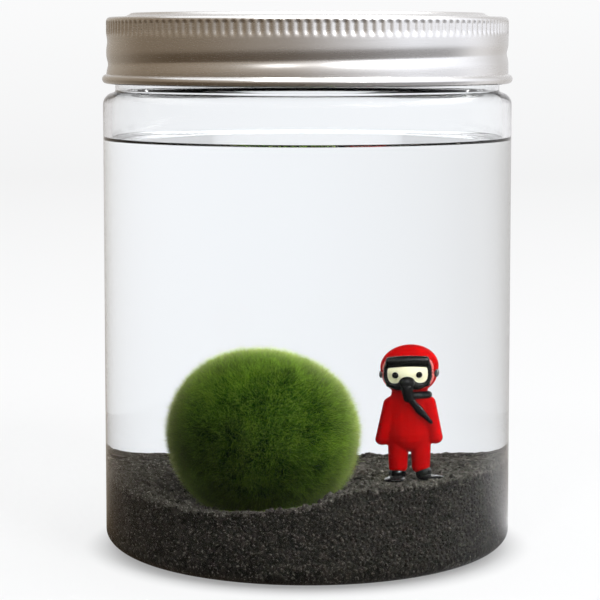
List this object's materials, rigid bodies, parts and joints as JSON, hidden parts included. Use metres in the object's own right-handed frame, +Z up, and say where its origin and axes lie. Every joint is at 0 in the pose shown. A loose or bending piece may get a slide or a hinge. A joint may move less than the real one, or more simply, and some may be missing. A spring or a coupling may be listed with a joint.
{
  "type": "marimo moss ball in a screw-lid glass jar",
  "caption": "Straight-sided clear jar with a screw-on aluminium lid, filled with water over dark gravel, holding a fuzzy green moss ball and a small toy diver.",
  "frame": {"origin": "centre of the jar's flat base, on the surface that it stands on", "axes": "+Z up along the jar's axis; -Y is the front, where the moss ball is nearest the glass; +X is to the right"},
  "size_m": [0.0916, 0.0916, 0.1203],
  "materials": {
    "clear_glass": "clear polished glass",
    "satin_aluminium": "satin",
    "liner_foam": "matte",
    "water": "clear water",
    "dark_gravel": "matte",
    "moss": "fine fuzzy moss",
    "red_suit": "satin",
    "cream_face": "satin",
    "gloss_black": "gloss"
  },
  "bodies": {
    "vessel": {"jar": "clear_glass", "water": "water", "gravel": "dark_gravel", "moss_ball": "moss", "diver_suit": "red_suit", "diver_face": "cream_face", "diver_mask": "gloss_black", "diver_eye_left": "gloss_black", "diver_eye_right": "gloss_black", "diver_regulator": "gloss_black", "diver_hose": "gloss_black", "diver_fin_left": "gloss_black", "diver_fin_right": "gloss_black"},
    "seal": {"lid_liner": "liner_foam"},
    "cap": {"lid": "satin_aluminium"}
  },
  "joints": [
    {"name": "lid_rise", "type": "slide", "parent": "vessel", "child": "seal", "axis": [0, 0, 1], "range_m": [0, 0.0051]},
    {"name": "lid_turn", "type": "hinge", "parent": "seal", "child": "cap", "pos_m": [0, 0, 0.118], "axis": [0, 0, 1], "range_deg": [0, 360]}
  ],
  "couplings": [
    {"joint": "lid_rise", "follows": "lid_turn", "m_per_rad": 0.00080851}
  ]
}
